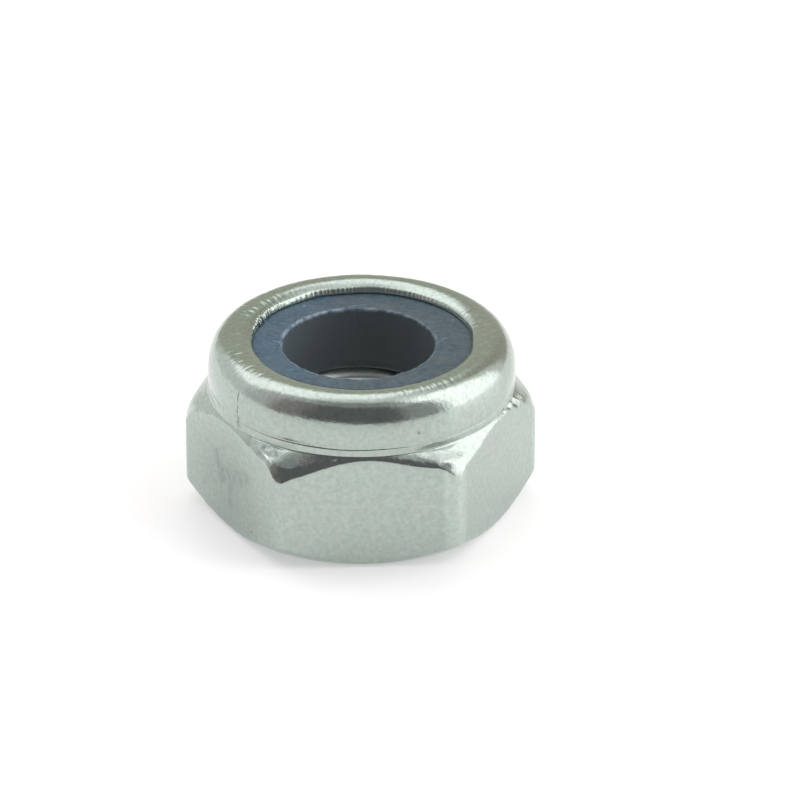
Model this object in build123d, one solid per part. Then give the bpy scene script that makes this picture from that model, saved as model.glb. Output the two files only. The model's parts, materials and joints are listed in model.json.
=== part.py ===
from build123d import *
import os
from math import cos, radians, sin, tan

# Nylon insert lock nut for an M6 coarse thread, in millimetres.
# +Z is the thread's axis. The origin is the middle of the bearing face, and the nylon end is at +Z.

# Hexagon
ACROSS_FLATS = 10.0
CORNER_FILLET = 0.55
HEXAGON_HEIGHT = 3.94
BEARING_FACE_SETBACK = 0.2  # from the flats in to the rim of the bearing face
BOTTOM_BEVEL_ANGLE = 38.0  # up from the bearing face
TOP_CHAMFER_ANGLE = 48.5  # down from the level
CORNER_ROUNDING = 1.3  # where the top chamfer runs over into the corners
CORNER_MARGIN = 0.02  # how far the turned profile clears the corners of the bar

# Collar, whose top edge is rolled inward over the insert
COLLAR_SETBACK = 0.08  # from the flats in to the outside of the collar
COLLAR_WALL = 0.57
COLLAR_STRAIGHT_HEIGHT = 0.71
ROLL_WIDTH = 0.63  # from the outside of the collar in to its highest ridge
ROLL_RISE = 1.12  # from the top of the straight wall up to the ridge
FOLD_GROOVE_HEIGHT = 0.28  # from the foot of the collar up to the middle of the groove
FOLD_GROOVE_HALF_WIDTH = 0.08
FOLD_GROOVE_DEPTH = 0.06

# Lip, the part of the rolled edge that lies over the insert
LIP_REACH = 0.76  # from the ridge in to the edge of the lip
LIP_FALL = 0.11  # from the ridge down to the edge of the lip
LIP_THICKNESS = 0.33  # at the ridge
LIP_EDGE_ROUNDING = 0.07

# Pocket for the insert
SEAT_DEPTH = 0.39  # from the foot of the collar down to the seat
POCKET_ROLL_WIDTH = 0.45
POCKET_ROLL_RISE = 0.49
INSERT_CLEARANCE = 0.01  # between the insert and the collar's wall and lip

# Nylon insert
INSERT_BORE_DIAMETER = 4.9
INSERT_RIM_ROUNDING = 0.12

# Threaded bore
THREAD_MAJOR_DIAMETER = 6.0
THREAD_MINOR_DIAMETER = 4.918
THREAD_PITCH = 1.0
THREAD_ROOT_WIDTH = 0.125
THREAD_FLANK_ANGLE = 30.0  # from the level
ENTRY_COUNTERSINK_WIDTH = 0.69
SEAT_COUNTERSINK_WIDTH = 0.64
COUNTERSINK_ANGLE = 45.0  # between the thread's axis and the cone

# Sizes that follow
flat_radius = ACROSS_FLATS / 2
corner_radius = (flat_radius - CORNER_FILLET) / cos(radians(30)) + CORNER_FILLET
turned_radius = corner_radius + CORNER_MARGIN
bearing_radius = flat_radius - BEARING_FACE_SETBACK
bevel_rise = (turned_radius - bearing_radius) * tan(radians(BOTTOM_BEVEL_ANGLE))

collar_radius = flat_radius - COLLAR_SETBACK
roll_start = HEXAGON_HEIGHT + COLLAR_STRAIGHT_HEIGHT
ridge_radius = collar_radius - ROLL_WIDTH
ridge_height = roll_start + ROLL_RISE
groove_height = HEXAGON_HEIGHT + FOLD_GROOVE_HEIGHT
lip_radius = ridge_radius - LIP_REACH
lip_height = ridge_height - LIP_FALL

seat_height = HEXAGON_HEIGHT - SEAT_DEPTH
pocket_radius = collar_radius - COLLAR_WALL
pocket_top = ridge_height - LIP_THICKNESS
thread_radius = THREAD_MINOR_DIAMETER / 2
root_radius = THREAD_MAJOR_DIAMETER / 2
insert_radius = pocket_radius - INSERT_CLEARANCE
insert_top = pocket_top - INSERT_CLEARANCE
insert_bore_radius = INSERT_BORE_DIAMETER / 2


def chamfer_corner():
    """The point, in radius and height, where the top chamfer would meet the turned side if it weren't rounded."""
    drop = (turned_radius - collar_radius) * tan(radians(TOP_CHAMFER_ANGLE))
    return turned_radius, HEXAGON_HEIGHT - drop


def outer_profile():
    """The turned outside, from the rim of the bearing face up to the edge of the lip."""
    corner_x, corner_z = chamfer_corner()
    tangent = CORNER_ROUNDING * tan(radians(90 - TOP_CHAMFER_ANGLE) / 2)
    side_end = (corner_x, corner_z - tangent)
    chamfer_start = (
        corner_x - tangent * cos(radians(TOP_CHAMFER_ANGLE)),
        corner_z + tangent * sin(radians(TOP_CHAMFER_ANGLE)),
    )
    groove_foot = (collar_radius, groove_height - FOLD_GROOVE_HALF_WIDTH)
    groove_middle = (collar_radius - FOLD_GROOVE_DEPTH, groove_height)
    groove_head = (collar_radius, groove_height + FOLD_GROOVE_HALF_WIDTH)
    ridge = (ridge_radius, ridge_height)
    return [
        Polyline((bearing_radius, 0), (turned_radius, bevel_rise), side_end),
        TangentArc(side_end, chamfer_start, tangent=(0, 1)),
        Polyline(chamfer_start, (collar_radius, HEXAGON_HEIGHT), groove_foot),
        ThreePointArc(groove_foot, groove_middle, groove_head),
        Line(groove_head, (collar_radius, roll_start)),
        EllipticalCenterArc((ridge_radius, roll_start), ROLL_WIDTH, ROLL_RISE, arc_size=90),
        TangentArc(ridge, (lip_radius, lip_height), tangent=(-1, 0)),
    ]


def inner_profile():
    """The inside, from the edge of the lip down through the pocket and the thread to the bearing face."""
    roll_center = (pocket_radius - POCKET_ROLL_WIDTH, pocket_top - POCKET_ROLL_RISE)
    seat_depth = SEAT_COUNTERSINK_WIDTH / tan(radians(COUNTERSINK_ANGLE))
    entry_depth = ENTRY_COUNTERSINK_WIDTH / tan(radians(COUNTERSINK_ANGLE))
    return [
        Polyline((lip_radius, lip_height), (lip_radius, pocket_top), (roll_center[0], pocket_top)),
        EllipticalCenterArc(roll_center, POCKET_ROLL_WIDTH, POCKET_ROLL_RISE, arc_size=90),
        Polyline(
            (pocket_radius, roll_center[1]),
            (pocket_radius, seat_height),
            (thread_radius + SEAT_COUNTERSINK_WIDTH, seat_height),
            (thread_radius, seat_height - seat_depth),
            (thread_radius, entry_depth),
            (thread_radius + ENTRY_COUNTERSINK_WIDTH, 0),
            (bearing_radius, 0),
        ),
    ]


def thread_grooves():
    """The thread's V grooves in section, one a pitch, each wholly between the bearing face and the seat. They are
    rings and not a helix, so that every crest between them is a whole wall at the minor diameter."""
    half_root = THREAD_ROOT_WIDTH / 2
    half_mouth = half_root + (root_radius - thread_radius) * tan(radians(THREAD_FLANK_ANGLE))
    count = int((seat_height - half_mouth) / THREAD_PITCH + 0.5)
    groove = make_face(
        Polyline(
            (thread_radius, -half_mouth),
            (root_radius, -half_root),
            (root_radius, half_root),
            (thread_radius, half_mouth),
            close=True,
        )
    )
    return [Pos(0, (number + 0.5) * THREAD_PITCH) * groove for number in range(count)]


def hexagon_bar():
    """The bar that the nut is turned from: a hexagon with filleted corners, two of them on X."""
    outline = RegularPolygon(flat_radius, 6, major_radius=False)
    return extrude(fillet(outline.vertices(), CORNER_FILLET), ridge_height)


def nut_body():
    """The steel nut: its turned section spun about the axis, with what lies inside the bar kept."""
    section = make_face(outer_profile() + inner_profile()) - thread_grooves()
    edge = section.vertices().sort_by_distance((lip_radius, lip_height, 0))[0]
    section = fillet(edge, LIP_EDGE_ROUNDING)
    return revolve(Plane.XZ * section, Axis.Z) & hexagon_bar()


def nylon_insert():
    """The ring in the pocket: plain below, rounded to the roll of the collar above, with soft rims at its bore."""
    roll_center = (pocket_radius - POCKET_ROLL_WIDTH, pocket_top - POCKET_ROLL_RISE)
    outline = [
        Polyline(
            (roll_center[0], insert_top),
            (insert_bore_radius, insert_top),
            (insert_bore_radius, seat_height),
            (insert_radius, seat_height),
            (insert_radius, roll_center[1]),
        ),
        EllipticalCenterArc(
            roll_center,
            POCKET_ROLL_WIDTH - INSERT_CLEARANCE,
            POCKET_ROLL_RISE - INSERT_CLEARANCE,
            arc_size=90,
        ),
    ]
    section = make_face(outline)
    rims = section.vertices().group_by(Axis.X)[0]
    section = fillet(rims, INSERT_RIM_ROUNDING)
    return revolve(Plane.XZ * section, Axis.Z)


os.makedirs("parts", exist_ok=True)
export_step(nut_body(), "parts/nut_body.step")
export_step(nylon_insert(), "parts/nylon_insert.step")
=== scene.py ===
import json
import bpy
import numpy as np
from mathutils import Matrix, Vector


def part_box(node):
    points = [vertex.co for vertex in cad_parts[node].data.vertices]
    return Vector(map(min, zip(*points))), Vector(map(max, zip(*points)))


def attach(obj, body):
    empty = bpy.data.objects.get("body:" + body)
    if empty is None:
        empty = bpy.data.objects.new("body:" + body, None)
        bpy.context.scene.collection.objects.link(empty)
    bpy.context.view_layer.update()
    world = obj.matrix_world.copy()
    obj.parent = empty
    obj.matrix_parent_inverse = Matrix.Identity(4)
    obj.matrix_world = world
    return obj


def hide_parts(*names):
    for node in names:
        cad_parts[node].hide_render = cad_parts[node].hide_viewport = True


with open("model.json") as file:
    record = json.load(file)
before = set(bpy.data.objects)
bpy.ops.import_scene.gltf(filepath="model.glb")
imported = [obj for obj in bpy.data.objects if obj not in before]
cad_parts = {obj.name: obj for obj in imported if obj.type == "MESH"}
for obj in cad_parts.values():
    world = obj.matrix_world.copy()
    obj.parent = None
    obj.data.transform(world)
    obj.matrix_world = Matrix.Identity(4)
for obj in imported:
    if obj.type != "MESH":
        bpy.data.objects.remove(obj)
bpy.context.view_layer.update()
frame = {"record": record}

MM = 0.001
TAU = 2 * np.pi

# ------------------------ sizes read from the frame

mounts = {mount["name"]: mount for mount in frame["record"]["mounts"]}
body_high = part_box("nut_body")[1]
insert_low, insert_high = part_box("nylon_insert")

corner_radius = body_high[0]
flat_radius = body_high[1]
ridge_height = body_high[2]
seat_height = insert_low[2]
insert_top = insert_high[2]
insert_radius = insert_high[0]
thread_radius = mounts["thread"]["dims"]["r_mm"] * MM
insert_bore_radius = mounts["nylon_bore"]["dims"]["r_mm"] * MM

# ------------------------ sizes of the nut's own forms

# hexagon
HALF_SIDE = np.radians(30)  # half a side, seen from the axis
HEXAGON_HEIGHT = 3.94 * MM
BEARING_FACE_SETBACK = 0.2 * MM
BOTTOM_BEVEL_ANGLE = np.radians(38.0)
TOP_CHAMFER_ANGLE = np.radians(48.5)
CORNER_ROUNDING = 1.3 * MM
CORNER_MARGIN = 0.02 * MM
EDGE_SOFTNESS = 0.06 * MM
UPPER_SOFTNESS = 0.30 * MM  # along the top chamfer, where it runs over into the flats
UPPER_SOFTNESS_SHARE = 0.55  # of the chamfer's own length, at most
FOOT_SOFTNESS = 0.6 * EDGE_SOFTNESS  # where the chamfer meets the collar
CHAMFER_SHARES = [0.08, 0.2, 0.36, 0.55, 0.75, 0.93]  # rows on the way in along the chamfer

# stretches where the top was chamfered less, or more where the lift is negative: middle and spread in
# degrees, and the lift at the corner
CROWN_LIFTS = [
    (298, 11, 0.42 * MM),
    (236, 8, 0.42 * MM),
    (314, 7, -0.16 * MM),
    (2, 12, 0.13 * MM),
    (178, 12, 0.09 * MM),
]

# collar, with the fold round its foot
COLLAR_SETBACK = 0.08 * MM
COLLAR_LEAN = 0.07 * MM  # how much further the collar reaches out on +X
COLLAR_LEAN_START = 0.25 * MM  # height above the hexagon over which the lean sets in
FOLD_GROOVE_HEIGHT = 0.28 * MM
FOLD_GROOVE_HALF_WIDTH = 0.10 * MM
FOLD_GROOVE_DEPTH = 0.06 * MM
FOLD_OPENNESS = 0.26  # share of the groove's depth that the fold has round the nut
FOLD_OPENNESS_SWING = 0.22  # how much larger the share is on the open side, and smaller on the other
FOLD_OPEN_SIDE = np.radians(235)
FOLD_ROWS = [-1.3, -0.9, -0.6, -0.35, -0.1, 0.15, 0.45, 0.8, 1.15]  # half widths above the groove's middle
FOLD_SHAPE = ([-0.6, -0.1, 1.15], [0, 1, 0])  # half widths above the middle, and the share of the depth there
WALL_START = FOLD_GROOVE_HEIGHT + 1.8 * FOLD_GROOVE_HALF_WIDTH  # above the hexagon

# rolled lip
ROLL_WIDTH = 0.88 * MM
ROLL_RISE = 1.20 * MM
ROLL_SQUARENESS = 2.35  # 2 would be an ellipse
ROLL_ROWS = 20
LIP_REACH = 0.51 * MM
LIP_CROWN_FALL = 0.15 * MM  # from the ridge down to where the edge rounds over
LIP_FALL = 0.27 * MM  # from the ridge down to the edge
LIP_EDGE_ROUNDING = 0.05 * MM
LIP_CURL = 2.0  # the power at which the lip falls away towards its edge
LIP_SHIFT = 0.06 * MM  # how far the crimping tool left the lip's opening off centre, towards +X
LIP_ROWS = 12
LIP_WOBBLE_POWER = 9  # a high power of the way in keeps the edge's wobble at the edge
LIP_UNDERCUT = 0.02 * MM  # how far the cut edge leans outwards on its way down
LIP_FOOT_RISE = 0.004 * MM  # from the pocket's roof up to the foot of the cut edge
POCKET_GAP = 0.01 * MM

# right-hand thread and its countersinks
THREAD_PITCH = 1.0 * MM
THREAD_DEPTH = 0.541 * MM
THREAD_ROOT_WIDTH = THREAD_PITCH / 8
THREAD_FLANK_ANGLE = np.radians(30)
THREAD_START = 0.34  # of a turn
ENTRY_COUNTERSINK_WIDTH = 0.69 * MM
SEAT_COUNTERSINK_WIDTH = 0.64 * MM

# nylon insert
INSERT_RIM_ROUNDING = 0.12 * MM
INSERT_ROLL_WIDTH = 0.45 * MM
INSERT_ROLL_RISE = 0.49 * MM
INSERT_BORE_SHIFT = -0.06 * MM  # the bore lies a little off centre, towards -X
INSERT_SAG = 0.27 * MM  # how far the foot of the bore was pressed down into the countersink
INSERT_FOOT_SHARE = 0.95  # of the countersink and of the sag, so that the foot stays clear of the cone
INSERT_FOOT_INSET = 0.03 * MM  # from the bore in to the rim of the foot
INSERT_LEDGE_WIDTH = 0.02 * MM
INSERT_LEDGE_HEAD = 0.15 * MM  # from the seat down to where the ledge begins
INSERT_LEDGE_FOOT = 0.17 * MM  # and to where it ends
INSERT_WEAR_DEPTH = 0.6 * MM  # from the face down to where the bore is true
INSERT_FACE_BAND = 0.08 * MM  # from the face down to where the burrs end

# grids
BORE_COLUMNS = 280
SKIN_COLUMNS = 3 * BORE_COLUMNS  # stitch() sews three of these to each column of the bore
BORE_ROWS = 66
INSERT_COLUMNS = 720

collar_radius = flat_radius - COLLAR_SETBACK
bearing_radius = flat_radius - BEARING_FACE_SETBACK
turned_radius = corner_radius + CORNER_MARGIN
roll_start = ridge_height - ROLL_RISE
ridge_radius = collar_radius - ROLL_WIDTH
lip_radius = ridge_radius - LIP_REACH
lip_height = ridge_height - LIP_FALL
pocket_radius = insert_radius + POCKET_GAP
pocket_top = insert_top + POCKET_GAP

# ------------------------ marks of making and handling

# stretches of the rolled lip that the crimping tool marked: middle and spread in degrees, and the number of
# marks
CRIMP_ZONES = [
    (172, 20, 260),
    (212, 12, 90),
    (-4, 14, 110),
    (-62, 9, 130),
    (138, 12, 70),
]
CRIMP_HALF_WIDTHS = (0.005, 0.010)  # radians
CRIMP_INSETS = (-0.35 * MM, 0.32 * MM)  # from the ridge inwards
CRIMP_LENGTHS = (0.06 * MM, 0.22 * MM)
CRIMP_DEPTHS = (0.0020 * MM, 0.0060 * MM)
CRIMP_WAYS = [1, 1, -0.6]  # two marks in three are pressed in, and the third stands out

# hollows (positive) and burrs (negative): angle in degrees, then radius, height, half width and depth in
# millimetres
DENTS = [
    (-15.0, 5.08, 3.84, 0.14, 0.095),
    (-12.0, 5.14, 3.76, 0.11, -0.08),
    (-17.5, 5.02, 3.93, 0.10, -0.065),
    (-8.0, 5.20, 3.64, 0.08, 0.05),
    (-20.5, 4.98, 3.90, 0.07, 0.05),
    (-24.0, 4.95, 3.91, 0.09, -0.045),
    (198.0, 5.11, 1.44, 0.30, 0.010),
    (217.0, 5.04, 1.55, 0.22, 0.008),
    (258.0, 4.98, 3.85, 0.05, 0.03),
    (61.0, 5.45, 2.60, 0.20, 0.02),
    (118.0, 5.30, 3.40, 0.12, 0.03),
]

# seam where the collar's metal opened as it was rolled
SEAM_DEGREES = 215.5
SEAM_MIDDLE_HEIGHT = 4.55 * MM
SEAM_HALF_HEIGHT = 0.5 * MM
SEAM_END = 1.15  # half heights from the middle to where the seam runs out
SEAM_HALF_WIDTH = 0.007  # radians
SEAM_DEPTH = 0.02 * MM
SEAM_WAVE = 0.006  # radians
SEAM_WAVE_LENGTH = 0.21 * MM  # for one radian of the wave

# wobbles round the axis: size, seed, and the slowest and the fastest of their waves in a turn
SOFTNESS_WOBBLE = (0.3, 3, 5, 60)  # a share of the softness
TOP_EDGE_WOBBLE = (0.004 * MM, 11, 60, 200)
BEVEL_EDGE_WOBBLE = (0.008 * MM, 12, 40, 200)
FOLD_HEIGHT_WOBBLE = (0.008 * MM, 21, 2, 14)
FOLD_OPENNESS_WOBBLE = (0.06, 22, 1, 5)  # a share of the groove's depth
LIP_SLOW_WOBBLE = (0.016 * MM, 31, 2, 14)
LIP_FINE_WOBBLE = (0.003 * MM, 32, 40, 160)
LIP_TORN_WOBBLE = (0.004 * MM, 33, 110, 230)
BORE_SLOW_WOBBLE = (0.010 * MM, 61, 8, 70)
BORE_FINE_WOBBLE = (0.006 * MM, 62, 80, 190)
BORE_TORN_WOBBLE = (0.016 * MM, 64, 110, 230)
RIM_WOBBLE = (0.25, 63, 3, 40)  # a share of the rim's rounding

# where edges are torn: middle and half width in radians
LIP_TORN = (np.radians(152), np.radians(14))
LIP_TORN_GAIN = 10.5  # so many times the small teeth of the rest are added there
BORE_TORN = (0.05, 0.2)

# grain of surfaces: height, seed, and the shortest and the longest wave
ZINC_FINE_GRAIN = (0.0013 * MM, 41, 0.35 * MM, 1.1 * MM)
ZINC_COARSE_GRAIN = (0.0045 * MM, 42, 1.6 * MM, 5.0 * MM)
NYLON_FINE_GRAIN = (0.0035 * MM, 71, 0.3 * MM, 1.2 * MM)
NYLON_COARSE_GRAIN = (0.006 * MM, 72, 1.5 * MM, 4 * MM)

CRIMP_SEED = 51
WOBBLE_WAVES = 28
GRAIN_WAVES = 40


# ------------------------ seeded unevenness


def wobble(angle, size, seed, slowest, fastest):
    """A smooth closed wobble of about the given size: cosines of whole-number rates with seeded phases,
    added."""
    draw = np.random.default_rng(seed)
    rates = draw.integers(slowest, fastest + 1, WOBBLE_WAVES)
    phases = draw.uniform(0, TAU, WOBBLE_WAVES)
    waves = np.cos(rates[:, None] * angle.ravel() + phases[:, None])
    return size * waves.sum(axis=0).reshape(angle.shape) / np.sqrt(WOBBLE_WAVES)


def grain(points, size, seed, shortest, longest):
    """Solid unevenness of about the given size: plane waves in seeded directions through the points,
    added."""
    draw = np.random.default_rng(seed)
    directions = draw.normal(size=(GRAIN_WAVES, 3))
    directions /= np.linalg.norm(directions, axis=1, keepdims=True)
    lengths = np.exp(draw.uniform(np.log(shortest), np.log(longest), GRAIN_WAVES))
    phases = draw.uniform(0, TAU, GRAIN_WAVES)
    total = np.zeros(points.shape[:-1])
    for direction, length, phase in zip(directions, lengths, phases):
        total += np.cos(points @ (direction * TAU / length) + phase)
    return size * total / np.sqrt(GRAIN_WAVES)


def bump_at(value, middle, half_width):
    """A bell over value: one at the middle and near zero two half widths away."""
    return np.exp(-(((value - middle) / half_width) ** 2))


def turn_from(angle, middle):
    """The signed angle from middle, between minus and plus half a turn."""
    return (angle - middle + np.pi) % TAU - np.pi


def bump_round(angle, middle, half_width):
    """A bell over the angle round the axis."""
    return bump_at(turn_from(angle, middle), 0, half_width)


def polar(degrees, radius, height=0.0):
    """The point at an angle round the axis, a distance from it and a height."""
    turn = np.radians(degrees)
    return radius * np.cos(turn), radius * np.sin(turn), height


# ------------------------ runs of a section


def straight(start, end, shares):
    """Points on the line from start to end, at the given shares of its length, for every column."""
    shares = np.asarray(shares)[:, None, None]
    return start + (end - start) * shares


def bend(before, corner, after, rows):
    """A rounded corner: the quadratic curve that leaves along before-corner and ends along corner-after."""
    t = np.linspace(0, 1, rows)[:, None, None]
    return (1 - t) ** 2 * before + 2 * t * (1 - t) * corner + t**2 * after


def quarter(center, width, rise, rows, skip=0, squareness=2.0):
    """A quarter of a superellipse about center, from its outermost point up to its highest one: the shares
    of width and of rise, each to the power of squareness, add up to 1."""
    turn = np.linspace(0, np.pi / 2, rows)[skip:, None]
    radius = center[..., 0] + width * np.abs(np.cos(turn)) ** (2 / squareness)
    height = center[..., 1] + rise * np.sin(turn) ** (2 / squareness)
    return np.stack([radius, height], axis=-1)


def pairs(radius, height):
    """Radii and heights of any shapes that go together, as one array of pairs."""
    return np.stack(np.broadcast_arrays(radius, height), axis=-1)


def place(radius, height, like):
    """One radius and height for every column."""
    return pairs(np.broadcast_to(radius, like.shape), height)


# ------------------------ the turned hexagon


def hexagon_radius(angle):
    """The filleted hexagon in polar form: a flat is its distance over the cosine of the angle from its
    middle, and a fillet is the far crossing of the ray with its circle. Corners lie at 0, 60, 120 degrees
    and so on."""
    slant = np.cos(HALF_SIDE)
    fillet = (flat_radius / slant - corner_radius) / (1 / slant - 1)
    center = (flat_radius - fillet) / slant
    from_corner = (angle + HALF_SIDE) % (2 * HALF_SIDE) - HALF_SIDE
    from_flat = HALF_SIDE - np.abs(from_corner)
    flat = flat_radius / np.cos(from_flat)
    across = center * np.sin(from_corner)
    round_part = center * np.cos(from_corner) + np.sqrt(np.maximum(fillet**2 - across**2, 0))
    flat_end = np.arctan((flat_radius - fillet) * np.tan(HALF_SIDE) / flat_radius)
    return np.where(from_flat < flat_end, flat, round_part)


def chamfer_height(radius):
    """The turned top of the hexagon at a radius: a cone down from the collar's foot, then an arc that ends
    upright."""
    corner_height = HEXAGON_HEIGHT - (turned_radius - collar_radius) * np.tan(TOP_CHAMFER_ANGLE)
    tangent = CORNER_ROUNDING * np.tan((np.pi / 2 - TOP_CHAMFER_ANGLE) / 2)
    arc_radius = turned_radius - tangent * np.cos(TOP_CHAMFER_ANGLE)
    cone = HEXAGON_HEIGHT - (radius - collar_radius) * np.tan(TOP_CHAMFER_ANGLE)
    center_radius = turned_radius - CORNER_ROUNDING
    center_height = corner_height - tangent
    reach = np.clip(radius - center_radius, 0, CORNER_ROUNDING)
    arc = center_height + np.sqrt(CORNER_ROUNDING**2 - reach**2)
    return np.where(radius < arc_radius, cone, arc)


def crown_height(radius, angle):
    """The turned top with its uneven stretches: each lift grows straight with the way out to the corner."""
    outward = np.maximum((radius - collar_radius) / (corner_radius - collar_radius), 0)
    lift = 0
    for middle, spread, amount in CROWN_LIFTS:
        lift = lift + amount * bump_round(angle, np.radians(middle), np.radians(spread))
    return chamfer_height(radius) + lift * outward


# ------------------------ skin of the nut


def hexagon_stretches(angle):
    """The hexagon in section, from the bearing face up to the collar's foot: the face, its rim, the bottom
    bevel, the side and the top chamfer, with soft corners between them. Each is rows of radius and height
    for every column."""
    soft = EDGE_SOFTNESS * (1 + wobble(angle, *SOFTNESS_WOBBLE))
    outline = hexagon_radius(angle)
    upper = crown_height(outline, angle) + wobble(angle, *TOP_EDGE_WOBBLE)
    lower = (outline - bearing_radius) * np.tan(BOTTOM_BEVEL_ANGLE) + wobble(angle, *BEVEL_EDGE_WOBBLE)
    bevel_run = soft * np.cos(BOTTOM_BEVEL_ANGLE)
    bevel_rise = soft * np.sin(BOTTOM_BEVEL_ANGLE)

    bearing_start = place((bearing_radius + thread_radius + ENTRY_COUNTERSINK_WIDTH) / 2, 0, angle)
    rim_before = place(bearing_radius - soft, 0, angle)
    rim = place(bearing_radius, 0, angle)
    rim_after = place(bearing_radius + bevel_run, bevel_rise, angle)
    bevel_before = place(outline - bevel_run, lower - bevel_rise, angle)
    bevel_end = place(outline, lower, angle)
    side_start = place(outline, lower + soft, angle)
    side_end = place(outline, upper - 2 * soft, angle)
    top = place(outline, upper, angle)

    room = np.clip((outline - collar_radius) / np.cos(TOP_CHAMFER_ANGLE), 0, None)
    top_soft = np.minimum(UPPER_SOFTNESS, UPPER_SOFTNESS_SHARE * room)
    start_radius = outline - top_soft * np.cos(TOP_CHAMFER_ANGLE)
    chamfer_start = place(start_radius, crown_height(start_radius, angle), angle)
    foot_radius = collar_radius + FOOT_SOFTNESS * np.cos(TOP_CHAMFER_ANGLE)
    foot_before = place(foot_radius, HEXAGON_HEIGHT - FOOT_SOFTNESS * np.sin(TOP_CHAMFER_ANGLE), angle)
    foot = place(collar_radius, HEXAGON_HEIGHT, angle)
    foot_after = place(collar_radius, HEXAGON_HEIGHT + FOOT_SOFTNESS, angle)
    chamfer_radius = start_radius + (foot_radius - start_radius) * np.array(CHAMFER_SHARES)[:, None]

    return [
        straight(bearing_start, rim_before, [0, 0.9]),
        bend(rim_before, rim, rim_after, 4),
        straight(rim_after, bevel_before, [0.15, 0.85]),
        bend(bevel_before, bevel_end, side_start, 5),
        straight(side_start, side_end, [0.03, 0.18, 0.34, 0.5, 0.66, 0.82, 0.97]),
        bend(side_end, top, chamfer_start, 6),
        pairs(chamfer_radius, crown_height(chamfer_radius, angle)),
        bend(foot_before, foot, foot_after, 4),
    ]


def fold_stretch(angle):
    """The fold round the collar's foot: the metal steps in fast below the groove's middle and comes back
    slowly above it. It is deepest on its open side."""
    height = HEXAGON_HEIGHT + FOLD_GROOVE_HEIGHT + wobble(angle, *FOLD_HEIGHT_WOBBLE)
    openness = FOLD_OPENNESS + wobble(angle, *FOLD_OPENNESS_WOBBLE)
    openness = openness + FOLD_OPENNESS_SWING * np.cos(angle - FOLD_OPEN_SIDE)
    across = np.array(FOLD_ROWS)[:, None]
    depth = FOLD_GROOVE_DEPTH * np.maximum(openness, 0) * np.interp(across, *FOLD_SHAPE)
    return pairs(collar_radius - depth, height + across * FOLD_GROOVE_HALF_WIDTH)


def lip_opening(angle):
    """The radius of the lip's edge, in two parts: a circle that is a little off centre, and how far the
    sheared edge strays from it, in a slow wobble, a fine one, and torn teeth at the back left."""
    circle = lip_radius + LIP_SHIFT * np.cos(angle)
    torn = 1 + LIP_TORN_GAIN * bump_round(angle, *LIP_TORN)
    stray = wobble(angle, *LIP_SLOW_WOBBLE) + wobble(angle, *LIP_FINE_WOBBLE)
    return circle, stray + torn * wobble(angle, *LIP_TORN_WOBBLE)


def collar_stretches(angle):
    """The collar in section: the fold, the wall, the roll up to the ridge, the lip over the insert and its
    edge. The lip falls with a power of the way in from the ridge."""
    wall_start = place(collar_radius, HEXAGON_HEIGHT + WALL_START, angle)
    wall_end = place(collar_radius, roll_start, angle)
    roll_center = place(ridge_radius, roll_start, angle)

    circle, stray = lip_opening(angle)
    edge_radius = circle + stray
    inward = np.linspace(0, 1, LIP_ROWS)[1:, None]
    steady = ridge_radius + (circle + LIP_EDGE_ROUNDING - ridge_radius) * inward
    lip = pairs(steady + stray * inward**LIP_WOBBLE_POWER, ridge_height - LIP_CROWN_FALL * inward**LIP_CURL)
    edge_corner = place(edge_radius, lip_height, angle)
    edge_after = place(edge_radius, lip_height - LIP_EDGE_ROUNDING, angle)
    return [
        fold_stretch(angle),
        straight(wall_start, wall_end, [0, 0.5, 1]),
        quarter(roll_center, ROLL_WIDTH, ROLL_RISE, ROLL_ROWS, skip=1, squareness=ROLL_SQUARENESS),
        lip,
        bend(lip[-1], edge_corner, edge_after, 7)[1:],
    ]


def pocket_stretches(angle):
    """The pocket in section, from the foot of the lip's edge along the roof and down the wall to the
    seat."""
    circle, stray = lip_opening(angle)
    edge_foot = place(circle + stray + LIP_UNDERCUT, pocket_top + LIP_FOOT_RISE, angle)
    roof_end = pocket_radius - INSERT_ROLL_WIDTH
    roll_center = place(roof_end, pocket_top - INSERT_ROLL_RISE, angle)
    wall_foot = place(pocket_radius, seat_height, angle)
    seat_middle = place((pocket_radius + thread_radius + SEAT_COUNTERSINK_WIDTH) / 2, seat_height, angle)
    return [
        np.stack([edge_foot, place(roof_end, pocket_top, angle)]),
        quarter(roll_center, INSERT_ROLL_WIDTH, INSERT_ROLL_RISE, 5)[-2::-1],
        np.stack([wall_foot, seat_middle]),
    ]


# numbers of some stretches, counted from the bearing face, which is 0
RIM_STRETCH = 1
LIP_STRETCH = 11
EDGE_STRETCH = 12


def skin_section(angle):
    """The section from the bearing face up the outside, over the lip and down the pocket to the seat, with
    the collar leaning out on +X. Returns the rows and the number of the row where each stretch ends."""
    stretches = hexagon_stretches(angle) + collar_stretches(angle) + pocket_stretches(angle)
    ends = np.cumsum([len(stretch) for stretch in stretches])
    section = np.concatenate(stretches)
    outside = np.arange(len(section))[:, None] < ends[LIP_STRETCH]
    up = np.clip((section[..., 1] - HEXAGON_HEIGHT) / COLLAR_LEAN_START, 0, 1)
    outward = np.clip((section[..., 0] - lip_radius) / (collar_radius - lip_radius), 0, 1)
    section[..., 0] += COLLAR_LEAN * outside * up * outward * (1 + np.cos(angle)) / 2
    return section, ends


def closed_grid(rows, columns, first=0):
    """The quads between neighbouring rows of a grid that closes round the axis, wound to face outwards."""
    row, column = np.meshgrid(np.arange(rows - 1), np.arange(columns), indexing="ij")
    here = first + row * columns + column
    after = first + row * columns + (column + 1) % columns
    return np.stack([here, after, after + columns, here + columns], axis=-1).reshape(-1, 4)


def to_space(section, angle):
    """A section's rows carried round the axis: each radius and height put at its column's angle."""
    radius, height = section[..., 0], section[..., 1]
    return np.stack([radius * np.cos(angle), radius * np.sin(angle), height], axis=-1)


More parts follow.
